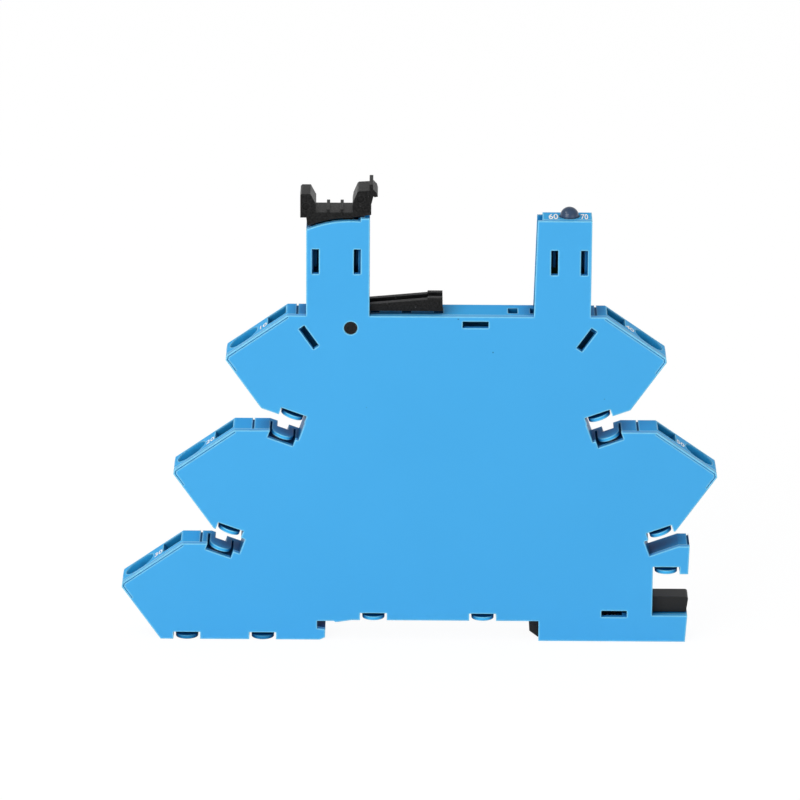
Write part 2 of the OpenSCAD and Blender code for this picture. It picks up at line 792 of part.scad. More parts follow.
// The way of the latch through the foot's wall and floor, and the window wall
module latch_way() {
    block(rail_in - past, -foot_h - past, leg_x + leg_w + latch_travel + 0.4,
        -rail_t - 0.15, latch_front_y - slide_gap, in_rear_y);
    block(latch_wall_x - rim_t - past, shelf_z, latch_wall_x + past,
        shelf_z + latch_h + 2 * slide_gap, in_front_y - past, in_rear_y);
}

// A thin groove across each flat, at its distance from the wire face
groove_w = 0.3;
function groove_x(k) = k == 2 ? 1.6 : 3;
module flat_grooves() {
    for (side = [-1, 1])
        for (k = [0:2]) {
            p = at_side(side, flat_start(k) - [groove_x(k), 0]);
            block(p[0] - groove_w / 2, p[1] - groove_w, p[0] + groove_w / 2, p[1] + past,
                in_front_y - past, rear_y + past);
        }
}

// The slope behind the lamp tower's top
chamfer_y = 1.45;
chamfer_z = 1;
module tower_chamfer() {
    translate([bay_r - past, 0, 0])
        rotate([90, 0, 90])
            linear_extrude(tower_r_w + 2 * past)
                polygon([[rear_y - chamfer_y, tower_z], [rear_y, tower_z - chamfer_z],
                    [rear_y + past, tower_z - chamfer_z], [rear_y + past, tower_z + past],
                    [rear_y - chamfer_y, tower_z + past]]);
}

// The fork's window in the ejector tower's wall
module fork_window() {
    block(bay_x - nest_d - nest_t - past, floor_z, bay_x + past, floor_z + 3.6,
        in_front_y - past, in_rear_y);
}

module base_shell() {
    color(blue) {
        difference() {
            rear_shell_body();
            for (t = tongues)
                at_tongue(t)
                    tongue_pocket();
            flat_grooves();
            tower_chamfer();
            for (t = terminals)
                at_face(t[0], t[1]) {
                    translate([0, funnel_y, 0])
                        wire_funnel();
                    driver_slot();
                }
            for (t = floor_tongues)
                at_tongue(t)
                    back_notch();
            relay_nest();
            pin_slots();
            latch_way();
            fork_window();
            translate([lamp, lamp_y, tower_z - rim_t - past])
                cylinder(r = lamp_d / 2 + rest_gap, h = rim_t + 2 * past);
            translate([pivot[0], rear_y + past, pivot[1]])
                rotate([90, 0, 0])
                    cylinder(r = pivot_r + pin_gap, h = back_t + 2 * past);
        }
        difference() {
            for (t = tongues)
                at_tongue(t)
                    tongue();
            for (t = floor_tongues)
                at_tongue(t)
                    back_notch();
        }
    }
}

// A fine line round the edge of each wire arm on the cover's face
line_in = 0.3;
line_w = 0.15;
line_l = 2.5;                                // how far the line runs on below the nose
function arm_edge(k) = [flat_start(k), tip(k), nose(k), nose(k) + line_l * under_dir()];
module arm_lines() {
    for (t = concat(terminals, [[1, 0]]))
        if (t[0] < 0 || t[1] > 0)
            slab(strip(strip_side(all_at(t[0], arm_edge(t[1])), -t[0] * line_in), line_w),
                front_y - past, front_y + line_w);
}

module cover_shell() {
    color(blue)
        difference() {
            union() {
                slab(outline(false), front_y, in_front_y);
                // guide ribs in front of the latch
                for (x = [spring_end_x, latch_wall_x - 1.2])
                    block(x, shelf_z + 0.3, x + 0.8, shelf_z + latch_h - 0.3,
                        in_front_y - past / 2, latch_front_y - slide_gap);
            }
            for (t = tongues)
                at_tongue(t)
                    tongue_notch();
            for (s = concat(slots, [latch_slot]))
                at_slot(s)
                    snap_slot();
            arm_lines();
            relay_nest();
            translate([pivot[0], in_front_y + past, pivot[1]])
                rotate([90, 0, 0])
                    cylinder(r = pivot_r + pin_gap, h = cover_t + 2 * past);
        }
}

// ---- Ejector lever ----

// Front view of the head, as places from the pivot
lug_l = pivot_x - tower_l_w - 0.95;          // outer face of the left lug
head_top = arc_r + lug_h;
saddle = arc_r + saddle_h;
flank_x = 2.45;                              // from the left lug's outer face to the saddle
function head_outline() = concat(
    arc([0, 0], head_r, 90, 90 + asin((tower_l_w - pivot_x - 0.15) / head_r), 8),
    [[lug_l + 0.95, head_r], [lug_l, head_r], [lug_l, head_top - 0.25],
        [lug_l + 0.25, head_top], [lug_l + 1.6, head_top],
        [lug_l + flank_x, head_top - 1.6], [lug_l + flank_x, saddle],
        [0.2, saddle], [0.2, head_top - 2], [0.35, head_top - 1.15],
        [0.97, head_top + 0.3], [1.2, head_top + 0.5], [2.87, head_top + 0.6],
        [2.87, head_top + 1.6], [3.45, head_top + 1.6], [3.45, head_top + 0.8],
        [4.03, head_top + 0.2], [4.2, head_top - 0.4], [3.7, head_top - 0.5],
        [3.5, head_top - 0.35], [3.26, head_top - 1.4], [3.12, head_top - 1.7],
        [3.17, head_r + 0.5], [1.2, head_r + 0.25]]);

module head() {
    half = head_t / 2;
    sink = 0.15;
    rib = 0.5;
    difference() {
        slab(head_outline(), -half, half);
        // round sinks in the lugs
        for (p = [[lug_l + 0.9, head_top - 2.05], [1.5, head_top - 0.8]])
            translate([p[0], -half + sink, p[1]])
                rotate([90, 0, 0])
                    cylinder(r = 0.6, h = past);
    }
    // grip ribs across the saddle
    for (x = [-3.6, -1.45])
        block(x - rib / 2, saddle - rib, x + rib / 2, saddle + rib, -half, half);
}

// Front view of one fork prong
function prong_outline() = [
    [0, -hub_r * 0.5], [hub_r * 0.7, -hub_r * 0.5], [pivot_x - rim_t - 0.2, 0.5],
    [pivot_x - rim_t - 0.2, pivot_drop + 0.5], [pivot_x + fork_l, pivot_drop + 0.5],
    [pivot_x + fork_l - 0.05, pivot_drop + 2.7], [pivot_x + fork_l - 2.4, pivot_drop + 2.7],
    [pivot_x + fork_l - 2.45, pivot_drop + 2.45], [pivot_x, pivot_drop + 1.6],
    [0.4, pivot_drop + 0.6], [-hub_r * 0.6, hub_r * 0.4]];

module ejector_lever() {
    hub_half = (in_rear_y - in_front_y) / 2 - rest_gap - 0.15;
    stem_x = pivot_x - catch_x - slot_w / 2 - 0.1;
    color(black)
        translate([pivot[0], 0, pivot[1]]) {
            translate([0, mid_y + hub_half, 0])
                rotate([90, 0, 0])
                    cylinder(r = hub_r, h = 2 * hub_half);
            translate([0, rear_y, 0])
                rotate([90, 0, 0])
                    cylinder(r = pivot_r, h = body_t);
            for (side = [-1, 1])
                slab(prong_outline(), mid_y + side * (hub_half - prong_t / 2) - prong_t / 2,
                    mid_y + side * (hub_half - prong_t / 2) + prong_t / 2);
            slab([[stem_x - stem_w, 0], [stem_x, 0], [stem_x, saddle - rest_gap],
                [stem_x - stem_w, saddle - rest_gap]], mid_y - hub_half, mid_y + hub_half);
            head();
        }
}

// ---- Rail latch ----

function latch_outline() =
    let (tip_x = rail_in - hook_reach, top_z = -rail_t - 0.25, low_z = -foot_h + 0.12,
        bar_low = shelf_z + slide_gap, bar_high = shelf_z + slide_gap + latch_h,
        lug_x = latch_wall_x + slide_gap, end_x = mid_x + stub_reach, r = 0.4)
    concat([[tip_x, top_z], [tip_x + 0.05, top_z - 1], [rail_in - 0.1, low_z],
        [leg_x + leg_w, low_z], [leg_x + leg_w, bar_low], [end_x - stub_draft, bar_low]],
        arc([end_x - r, lug_z - r], r, 0, 90, 4),
        [[lug_x, lug_z], [lug_x, bar_high], [leg_x, bar_high], [leg_x, top_z]]);

module rail_latch() {
    color(black)
        slab(latch_outline(), latch_front_y, latch_front_y + latch_t);
}

// A coil of wire along X between the latch's leg and the shell's wall
function ring(c, u, v, r, n) = [for (i = [0:n - 1])
    c + r * cos(360 * i / n) * u + r * sin(360 * i / n) * v];

module latch_spring() {
    sides = 6;
    per_turn = 14;
    n = coil_turns * per_turn;
    r = (coil_d - coil_wire) / 2;
    w = coil_wire / 2;
    x0 = leg_x + leg_w + rest_gap + w;
    run = spring_l - coil_wire;
    z = (shelf_z - foot_h + rim_t) / 2;
    rings = [for (i = [0:n])
        let (a = 360 * i / per_turn)
        ring([x0 + run * i / n, mid_y + r * cos(a), z + r * sin(a)], [1, 0, 0],
            [0, cos(a), sin(a)], w, sides)];
    points = [for (q = rings) for (p = q) p];
    walls = [for (i = [0:n - 1]) for (j = [0:sides - 1])
        [i * sides + j, i * sides + (j + 1) % sides, (i + 1) * sides + (j + 1) % sides,
            (i + 1) * sides + j]];
    ends = [[for (j = [sides - 1:-1:0]) j], [for (j = [0:sides - 1]) n * sides + j]];
    color(steel)
        polyhedron(points, concat(walls, ends));
}

base_shell();
cover_shell();
ejector_lever();
rail_latch();
latch_spring();
bus_bar(0);  // bus_bar_1
bus_bar(1);  // bus_bar_2
bus_bar(2);  // bus_bar_3
bus_bar(3);  // bus_bar_4
bus_bar(4);  // bus_bar_5
coil_link(0);  // coil_link_1
coil_link(1);  // coil_link_2
pin_contact(0);  // pin_contact_1
pin_contact(1);  // pin_contact_2
pin_contact(2);  // pin_contact_3
pin_contact(3);  // pin_contact_4
pin_contact(4);  // pin_contact_5
clamp_spring(0);  // clamp_spring_1
clamp_spring(1);  // clamp_spring_2
clamp_spring(2);  // clamp_spring_3
clamp_spring(3);  // clamp_spring_4
clamp_spring(4);  // clamp_spring_5
circuit_board();
indicator_led();
series_resistor();
coil_diode();
guard_diode();
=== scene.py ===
import json
import math

import bpy
from mathutils import Matrix, Vector


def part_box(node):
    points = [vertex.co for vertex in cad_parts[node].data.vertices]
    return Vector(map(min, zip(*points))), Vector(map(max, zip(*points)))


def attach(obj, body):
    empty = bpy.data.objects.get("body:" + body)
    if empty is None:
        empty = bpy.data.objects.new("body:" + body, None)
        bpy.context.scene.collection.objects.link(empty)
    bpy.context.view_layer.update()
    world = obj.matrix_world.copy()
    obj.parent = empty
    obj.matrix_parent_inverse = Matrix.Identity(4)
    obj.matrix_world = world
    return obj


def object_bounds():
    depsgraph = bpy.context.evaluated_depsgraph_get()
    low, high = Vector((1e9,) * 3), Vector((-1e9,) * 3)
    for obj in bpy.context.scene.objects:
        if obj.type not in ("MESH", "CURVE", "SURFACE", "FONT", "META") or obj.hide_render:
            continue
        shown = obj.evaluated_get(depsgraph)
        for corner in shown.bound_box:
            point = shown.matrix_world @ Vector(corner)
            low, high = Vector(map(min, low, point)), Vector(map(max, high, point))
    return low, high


# ---------------------------------------------------------------- camera
# A long lens a metre away, straight in front of the cover and 19 degrees above the socket's
# middle, so that the front and the tops of the arms both show. It is rolled very slightly.
camera_distance = 1.0
camera_rise = math.radians(19)
camera_roll = math.radians(0.35)
camera_aim = Vector((-0.004683, -0.0031, 0.037438))
camera_data = bpy.data.cameras.new("camera")
camera_data.sensor_width = 36
camera_data.lens = 283.5
camera_data.clip_end = 10
camera = bpy.data.objects.new("camera", camera_data)
bpy.context.scene.collection.objects.link(camera)
camera_ahead = Vector((0, math.cos(camera_rise), -math.sin(camera_rise)))
camera_up = Vector((0, math.sin(camera_rise), math.cos(camera_rise)))
camera_right = Vector((1, 0, 0))
picture_right = camera_right * math.cos(camera_roll) + camera_up * math.sin(camera_roll)
picture_up = camera_up * math.cos(camera_roll) - camera_right * math.sin(camera_roll)
camera_turn = Matrix((picture_right, picture_up, -camera_ahead)).transposed().to_4x4()
camera_place = camera_aim - camera_ahead * camera_distance
camera.matrix_world = Matrix.Translation(camera_place) @ camera_turn
bpy.context.scene.camera = camera

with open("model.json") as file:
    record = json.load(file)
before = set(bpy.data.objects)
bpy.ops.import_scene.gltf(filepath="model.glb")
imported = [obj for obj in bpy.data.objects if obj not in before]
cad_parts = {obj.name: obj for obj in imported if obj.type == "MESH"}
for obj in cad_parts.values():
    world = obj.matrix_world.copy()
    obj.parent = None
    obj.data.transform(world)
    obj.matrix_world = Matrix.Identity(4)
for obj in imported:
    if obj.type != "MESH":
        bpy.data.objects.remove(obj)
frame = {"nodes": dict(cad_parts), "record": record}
nodes = frame["nodes"]
cad_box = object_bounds()

# ---------------------------------------------------------------- rear shell
# The tub that holds everything: injection moulded in light blue polyamide, with the wire
# funnels, the feet and the towers in one piece. A fine spark-eroded grain covers it, its
# edges carry a pale painted highlight, and its slots, funnels and the places next to other
# parts carry painted shade.
SHELL_GRAIN = 9000                               # cells a metre in the mould's grain


def new_group(name, inputs, outputs):
    """An empty node group with named sockets; each input is (name, kind, value)."""
    group = bpy.data.node_groups.new(name, "ShaderNodeTree")
    for label, kind, value in inputs:
        socket = group.interface.new_socket(label, in_out="INPUT", socket_type=kind)
        socket.default_value = value
    for label, kind in outputs:
        group.interface.new_socket(label, in_out="OUTPUT", socket_type=kind)
    start = group.nodes.new("NodeGroupInput")
    end = group.nodes.new("NodeGroupOutput")
    return group, start, end


def add_node(tree, kind, settings=(), **values):
    """A node with its settings and its unlinked inputs set."""
    node = tree.nodes.new(kind)
    for label, value in dict(settings).items():
        setattr(node, label, value)
    for label, value in values.items():
        node.inputs[label.replace("_", " ")].default_value = value
    return node


def maths(tree, operation, first, second=None, clamp=False):
    """A Math node; each operand is a number or a socket."""
    node = add_node(tree, "ShaderNodeMath", {"operation": operation, "use_clamp": clamp})
    for index, operand in enumerate((first, second)):
        if operand is None:
            continue
        if isinstance(operand, (int, float)):
            node.inputs[index].default_value = operand
        else:
            tree.links.new(operand, node.inputs[index])
    return node.outputs[0]


def mix_colour(tree, mask, first, second):
    """A colour that goes from first to second with the mask; each is a colour or a socket."""
    node = add_node(tree, "ShaderNodeMix", {"data_type": "RGBA"})
    tree.links.new(mask, node.inputs["Factor"])
    for label, colour in (("A", first), ("B", second)):
        socket = [s for s in node.inputs if s.name == label and s.type == "RGBA"][0]
        if isinstance(colour, tuple):
            socket.default_value = (*colour, 1)
        else:
            tree.links.new(colour, socket)
    return [s for s in node.outputs if s.type == "RGBA"][0]


def place_group(tree, group, **values):
    """A group in a material, with this material's own values."""
    return add_node(tree, "ShaderNodeGroup", {"node_tree": group}, **values)


def make_edge_wear_and_highlight():
    """A mask for the outer edges, 1 on the edge and 0 on the flat, broken up by noise: it
    lays wear and, on the blue shells, a painted highlight.
    """
    sharpness = 2.4                              # how fast the mask rises at an edge
    least = 0.45                                 # share of the edge mask in the calmest patch
    spread = 0.7                                 # how much more the liveliest patch has
    group, start, end = new_group(
        "edge_wear_and_highlight",
        [("Radius", "NodeSocketFloat", 0.0002), ("Strength", "NodeSocketFloat", 1.0)],
        [("Mask", "NodeSocketFloat"), ("Normal", "NodeSocketVector")],
    )
    links = group.links
    rounded = add_node(group, "ShaderNodeBevel", {"samples": 4})
    links.new(start.outputs["Radius"], rounded.inputs["Radius"])
    solid = add_node(group, "ShaderNodeAmbientOcclusion",
                     {"samples": 8, "inside": True, "only_local": True})
    links.new(start.outputs["Radius"], solid.inputs["Distance"])
    place = group.nodes.new("ShaderNodeTexCoord")
    patch = add_node(group, "ShaderNodeTexNoise", Scale=700, Detail=4, Roughness=0.6)
    links.new(place.outputs["Object"], patch.inputs["Vector"])
    edge = maths(group, "SUBTRACT", 1, solid.outputs["AO"])
    edge = maths(group, "MULTIPLY", edge, sharpness, clamp=True)
    uneven = maths(group, "MULTIPLY", patch.outputs["Fac"], spread)
    edge = maths(group, "MULTIPLY", edge, maths(group, "ADD", uneven, least))
    edge = maths(group, "MULTIPLY", edge, start.outputs["Strength"], clamp=True)
    links.new(edge, end.inputs["Mask"])
    links.new(rounded.outputs["Normal"], end.inputs["Normal"])
    return group


def make_mould_grain():
    """Fine moulding grain, slow flow shades and rare dark specks, for moulded plastic."""
    speck_size = 0.12                            # a speck's radius as a share of a cell
    group, start, end = new_group(
        "mould_grain",
        [
            ("Grain Scale", "NodeSocketFloat", SHELL_GRAIN),
            ("Flow Scale", "NodeSocketFloat", 45.0),
            ("Speck Scale", "NodeSocketFloat", 900.0),
            ("Speck Share", "NodeSocketFloat", 0.02),
        ],
        [
            ("Height", "NodeSocketFloat"),
            ("Flow", "NodeSocketFloat"),
            ("Specks", "NodeSocketFloat"),
        ],
    )
    links = group.links
    place = group.nodes.new("ShaderNodeTexCoord")
    grain = add_node(group, "ShaderNodeTexNoise", Detail=3, Roughness=0.65)
    flow = add_node(group, "ShaderNodeTexNoise", Detail=2, Roughness=0.5)
    speck = add_node(group, "ShaderNodeTexVoronoi", Randomness=1)
    for label, texture in (("Grain", grain), ("Flow", flow), ("Speck", speck)):
        links.new(place.outputs["Object"], texture.inputs["Vector"])
        links.new(start.outputs[label + " Scale"], texture.inputs["Scale"])
    dot = maths(group, "LESS_THAN", speck.outputs["Distance"], speck_size)
    chosen = add_node(group, "ShaderNodeSeparateColor")
    links.new(speck.outputs["Color"], chosen.inputs["Color"])
    rare = maths(group, "LESS_THAN", chosen.outputs["Red"], start.outputs["Speck Share"])
    links.new(grain.outputs["Fac"], end.inputs["Height"])
    links.new(flow.outputs["Fac"], end.inputs["Flow"])
    links.new(maths(group, "MULTIPLY", dot, rare), end.inputs["Specks"])
    return group


def make_painted_shade_mask():
    """How open a place is, for the painted shade: 1 in the open, falling to 0 deep in a slot
    or a funnel.
    """
    group, start, end = new_group(
        "painted_shade_mask",
        [
            ("Reach", "NodeSocketFloat", 0.003),
            ("Depth", "NodeSocketFloat", 1.2),
            ("Neighbours", "NodeSocketFloat", 0.0),
        ],
        [("Open", "NodeSocketFloat")],
    )
    links = group.links
    own = add_node(group, "ShaderNodeAmbientOcclusion", {"samples": 8, "only_local": True})
    every = add_node(group, "ShaderNodeAmbientOcclusion", {"samples": 8})
    for near in (own, every):
        links.new(start.outputs["Reach"], near.inputs["Distance"])
    gap = maths(group, "SUBTRACT", every.outputs["AO"], own.outputs["AO"])
    gap = maths(group, "MULTIPLY", gap, start.outputs["Neighbours"])
    clear = maths(group, "ADD", own.outputs["AO"], gap, clamp=True)
    links.new(maths(group, "POWER", clear, start.outputs["Depth"], clamp=True),
              end.inputs["Open"])
    return group


mould_grain = make_mould_grain()
edge_wear_and_highlight = make_edge_wear_and_highlight()
painted_shade_mask = make_painted_shade_mask()


def moulded_plastic(name, colour, deep, wear_and_highlight, speck, roughness, wear_and_highlight_strength, bump, specks=0.02,
                    speck_scale=900, grain_scale=SHELL_GRAIN, grain_depth=0.00002, mottle=0,
                    edge=0.00028, specular=0.5, painted_shade=(0.01, 0.01, 0.01), reach=0.003,
                    depth=1.2, neighbours=0):
    """A moulded plastic with grain, specks, pale round edges and painted shade in its
    hollows.

    colour and deep are its two flow shades and speck the colour of its specks. The edge
    colour is wear, and on the blue shells a painted highlight; the hollow colour is painted
    shade, laid in slots and funnels and, where asked, next to other parts. mottle lets the
    grain show in the colour as well.
    """
    flow_gloss = 0.16                            # how far the flow shades change the gloss
    material = bpy.data.materials.new(name)
    material.use_nodes = True
    tree = material.node_tree
    shader = tree.nodes["Principled BSDF"]
    shader.inputs["Specular IOR Level"].default_value = specular
    grain = place_group(tree, mould_grain, Grain_Scale=grain_scale, Speck_Share=specks,
                        Speck_Scale=speck_scale)
    rim = place_group(tree, edge_wear_and_highlight, Radius=edge, Strength=wear_and_highlight_strength)
    painted_shade_node = place_group(tree, painted_shade_mask, Neighbours=neighbours, Reach=reach, Depth=depth)
    shade = maths(tree, "SUBTRACT", grain.outputs["Height"], 0.5)
    shade = maths(tree, "MULTIPLY", shade, mottle)
    shade = maths(tree, "ADD", shade, grain.outputs["Flow"], clamp=True)
    body = mix_colour(tree, shade, deep, colour)
    body = mix_colour(tree, grain.outputs["Specks"], body, speck)
    # The edge colour: wear, and on the blue shells a painted highlight along the rounded
    # edges.
    body = mix_colour(tree, rim.outputs["Mask"], body, wear_and_highlight)
    # Painted shade: the hollows, and with Neighbours the places next to other parts, go
    # towards the shade colour.
    body = mix_colour(tree, painted_shade_node.outputs["Open"], painted_shade, body)
    tree.links.new(body, shader.inputs["Base Color"])
    rough = maths(tree, "MULTIPLY", grain.outputs["Flow"], flow_gloss)
    rough = maths(tree, "ADD", rough, roughness - flow_gloss / 2)
    tree.links.new(rough, shader.inputs["Roughness"])
    raised = add_node(tree, "ShaderNodeBump", Strength=bump, Distance=grain_depth)
    tree.links.new(grain.outputs["Height"], raised.inputs["Height"])
    tree.links.new(rim.outputs["Normal"], raised.inputs["Normal"])
    tree.links.new(raised.outputs["Normal"], shader.inputs["Normal"])
    return material


def dress(name, material):
    """Gives a CAD node its material."""
    slots = nodes[name].data.materials
    slots.clear()
    slots.append(material)


# On the blue shells the pale edge colour is a painted highlight along the rounded edges.
shell_skin = dict(wear_and_highlight=(0.30, 0.78, 1.0), speck=(0.03, 0.2, 0.45), roughness=0.33,
                  wear_and_highlight_strength=0.95, bump=0.1, specks=0.006)
# The housing's slots, funnels and the places next to other parts get a deep painted shade.
housing_blue = moulded_plastic(
    "housing_blue", colour=(0.036, 0.43, 0.87), deep=(0.028, 0.405, 0.83), **shell_skin,
    specular=0.03, painted_shade=(0.0, 0.085, 0.24), reach=0.004, depth=1.9, neighbours=1)
dress("base_shell", housing_blue)

# ---------------------------------------------------------------- clamp springs, contacts
# Behind each wire entry a cage clamp bent from spring strip holds a tinned copper bar. The
# left bars run to folded pin contacts under the relay and the right ones to the board, as
# do two links from the coil's contacts. The sheet's fine lines run across every strip.


def make_rolling_lines():
    """The fine lines of rolled sheet, across the strip cut from it, and tarnish clouds."""
    stretch = 0.04                               # a line's width as a share of its length
    group, start, end = new_group(
        "rolling_lines", [("Line Scale", "NodeSocketFloat", 4000.0)],
        [("Height", "NodeSocketFloat"), ("Tarnish", "NodeSocketFloat")])
    links = group.links
    place = group.nodes.new("ShaderNodeTexCoord")
    drawn = add_node(group, "ShaderNodeMapping", Scale=(1, stretch, 1))
    links.new(place.outputs["Object"], drawn.inputs["Vector"])
    lines = add_node(group, "ShaderNodeTexNoise", Detail=2)
    links.new(start.outputs["Line Scale"], lines.inputs["Scale"])
    links.new(drawn.outputs["Vector"], lines.inputs["Vector"])
    cloud = add_node(group, "ShaderNodeTexNoise", Scale=260, Detail=3)
    links.new(place.outputs["Object"], cloud.inputs["Vector"])
    links.new(lines.outputs["Fac"], end.inputs["Height"])
    links.new(cloud.outputs["Fac"], end.inputs["Tarnish"])
    return group


rolling_lines = make_rolling_lines()


def strip_metal(name, bright, dull, roughness):
    """Rolled strip metal, a little tarnished in clouds."""
    material = bpy.data.materials.new(name)
    material.use_nodes = True
    tree = material.node_tree
    shader = tree.nodes["Principled BSDF"]
    shader.inputs["Metallic"].default_value = 1
    lines = place_group(tree, rolling_lines)
    colour = mix_colour(tree, lines.outputs["Tarnish"], bright, dull)
    tree.links.new(colour, shader.inputs["Base Color"])
    rough = maths(tree, "MULTIPLY", lines.outputs["Tarnish"], 0.2)
    tree.links.new(maths(tree, "ADD", rough, roughness), shader.inputs["Roughness"])
    raised = add_node(tree, "ShaderNodeBump", Strength=0.15, Distance=0.00001)
    tree.links.new(lines.outputs["Height"], raised.inputs["Height"])
    tree.links.new(raised.outputs["Normal"], shader.inputs["Normal"])
    return material


spring_steel = strip_metal("spring_steel", (0.62, 0.62, 0.63), (0.42, 0.42, 0.43), 0.22)
tinned_copper = strip_metal("tinned_copper", (0.70, 0.68, 0.63), (0.52, 0.49, 0.43), 0.3)
contact_alloy = strip_metal("contact_alloy", (0.68, 0.63, 0.5), (0.5, 0.44, 0.33), 0.25)
for number in range(1, 6):
    dress(f"clamp_spring_{number}", spring_steel)
    dress(f"pin_contact_{number}", contact_alloy)
    dress(f"bus_bar_{number}", tinned_copper)
for number in (1, 2):
    dress(f"coil_link_{number}", tinned_copper)

# ---------------------------------------------------------------- board and its parts
# A strip of green glass laminate stands in the lamp tower and carries the lamp's legs, with
# a black resistor and two glass diodes soldered on.
board_laminate = moulded_plastic(
    "board_laminate", colour=(0.03, 0.16, 0.06), deep=(0.02, 0.11, 0.04),
    wear_and_highlight=(0.3, 0.32, 0.2), speck=(0.05, 0.2, 0.08), roughness=0.35, wear_and_highlight_strength=0.6, bump=0.2)
resistor_body = moulded_plastic(
    "resistor_body", colour=(0.03, 0.03, 0.035), deep=(0.02, 0.02, 0.024),
    wear_and_highlight=(0.3, 0.3, 0.3), speck=(0.1, 0.1, 0.1), roughness=0.4, wear_and_highlight_strength=0.4, bump=0.1)
diode_body = moulded_plastic(
    "diode_body", colour=(0.5, 0.15, 0.06), deep=(0.4, 0.1, 0.04),
    wear_and_highlight=(0.6, 0.3, 0.2), speck=(0.2, 0.05, 0.02), roughness=0.2, wear_and_highlight_strength=0.3, bump=0.05)
dress("circuit_board", board_laminate)
dress("series_resistor", resistor_body)
dress("coil_diode", diode_body)
dress("guard_diode", diode_body)

# ---------------------------------------------------------------- lamp
# A 3 mm lamp of dark tinted epoxy, pushed up through the tower's top from inside. A flange
# under the top keeps it in, and only the dome stands out.


def tinted_lens():
    """Dark blue epoxy with a soft skin gloss and faint clouds of tint."""
    material = bpy.data.materials.new("lamp_lens")
    material.use_nodes = True
    tree = material.node_tree
    shader = tree.nodes["Principled BSDF"]
    shader.inputs["Coat Weight"].default_value = 0.25
    shader.inputs["Coat Roughness"].default_value = 0.18
    clouds = place_group(tree, mould_grain, Flow_Scale=900, Speck_Share=0)
    tint = mix_colour(tree, clouds.outputs["Flow"], (0.011, 0.031, 0.075),
                      (0.022, 0.06, 0.135))
    tree.links.new(tint, shader.inputs["Base Color"])
    rough = maths(tree, "MULTIPLY", clouds.outputs["Flow"], 0.1)
    tree.links.new(maths(tree, "ADD", rough, 0.24), shader.inputs["Roughness"])
    return material


dress("indicator_led", tinted_lens())

# ---------------------------------------------------------------- rail latch and spring
# The latch is a slide of black glass-filled polyamide, duller and coarser than the housing,
# with a hook at one end and a lug to pull at the other. A compression spring of round wire
# pushes the hook under the rail.
latch_black = moulded_plastic(
    "latch_black", colour=(0.024, 0.024, 0.024), deep=(0.010, 0.010, 0.010),
    wear_and_highlight=(0.05, 0.05, 0.05), speck=(0.06, 0.06, 0.06), roughness=0.42, wear_and_highlight_strength=0.5, bump=0.5,
    specks=0.05, grain_scale=5200, mottle=1, edge=0.00016, specular=0.16,
    painted_shade=(0.003, 0.003, 0.003))
dress("rail_latch", latch_black)
dress("latch_spring", spring_steel)

# ---------------------------------------------------------------- ejector lever
# The same black polyamide, moulded in one piece with its head, its fork and its pivot pins;
# the glass fibres near its skin leave it rough and speckled.
lever_black = moulded_plastic(
    "lever_black", colour=(0.015, 0.015, 0.015), deep=(0.0012, 0.0012, 0.0012),
    wear_and_highlight=(0.05, 0.05, 0.05), speck=(0.11, 0.11, 0.11), roughness=0.38, wear_and_highlight_strength=0.5, bump=0.9,
    specks=0.3, speck_scale=1600, grain_scale=3800, grain_depth=0.00006, mottle=5,
    edge=0.00016, specular=0.14, painted_shade=(0.002, 0.002, 0.002))
dress("ejector_lever", lever_black)

# ---------------------------------------------------------------- cover
# The flat cover closes the tub, and the tub's tongues and catches snap into its edge and
# slots. It is the same blue polyamide, a shade greyer, with the same painted edge highlight,
# and the shade painted into its hollows is lighter.
cover_blue = moulded_plastic(
    "cover_blue", colour=(0.068, 0.42, 0.82), deep=(0.060, 0.395, 0.78), **shell_skin,
    specular=0.1, painted_shade=(0.025, 0.31, 0.68))
dress("cover_shell", cover_blue)

# ---------------------------------------------------------------- printed numbers
# Plain white numbers, pad-printed between each wire entry and its screwdriver slot and on
# both sides of the lamp. The ink lies a hair above the plastic and is thin in places.
INK_LIFT = 0.00002                               # the ink's thickness and its lift


def printed_ink():
    """White printing ink, patchy where it is thin."""
    contrast = 4                                 # how sharp the thin patches are
    material = bpy.data.materials.new("printed_ink")
    material.use_nodes = True
    tree = material.node_tree
    shader = tree.nodes["Principled BSDF"]
    grain = place_group(tree, mould_grain, Grain_Scale=5200, Flow_Scale=1600, Speck_Share=0.1)
    thin = maths(tree, "SUBTRACT", grain.outputs["Height"], 0.5)
    thin = maths(tree, "MULTIPLY", thin, contrast, clamp=True)
    ink = mix_colour(tree, thin, (1.0, 1.0, 1.0), (0.82, 0.92, 0.98))
    tree.links.new(ink, shader.inputs["Base Color"])
    rough = maths(tree, "MULTIPLY", grain.outputs["Flow"], 0.2)
    tree.links.new(maths(tree, "ADD", rough, 0.5), shader.inputs["Roughness"])
    return material


white_ink = printed_ink()


def print_number(text, place, along, height, squeeze):
    """A thin number: place is its middle, along its line, squeeze how narrow it is."""
    cap_share = 0.7                              # a figure's height as a share of the size
    weight = 0.02                                # the ink's spread as a share of the height
    name = "number_" + text
    outline = bpy.data.curves.new(name, "FONT")
    outline.body = text
    outline.align_x = "CENTER"
    outline.align_y = "CENTER"
    outline.size = height / cap_share
    outline.extrude = INK_LIFT / 2
    outline.offset = height * weight
    holder = bpy.data.objects.new(name + "_outline", outline)
    bpy.context.scene.collection.objects.link(holder)
    bpy.context.view_layer.update()
    mesh = bpy.data.meshes.new_from_object(holder)
    bpy.data.objects.remove(holder)
    mesh.name = name
    up = Vector((0, 1, 0))
    out = along.cross(up)
    turn = Matrix((along * squeeze, up, out)).transposed().to_4x4()
    mesh.transform(Matrix.Translation(place + out * INK_LIFT) @ turn)
    mesh.materials.clear()
    mesh.materials.append(white_ink)
    piece = bpy.data.objects.new(name, mesh)
    bpy.context.scene.collection.objects.link(piece)
    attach(piece, "housing")


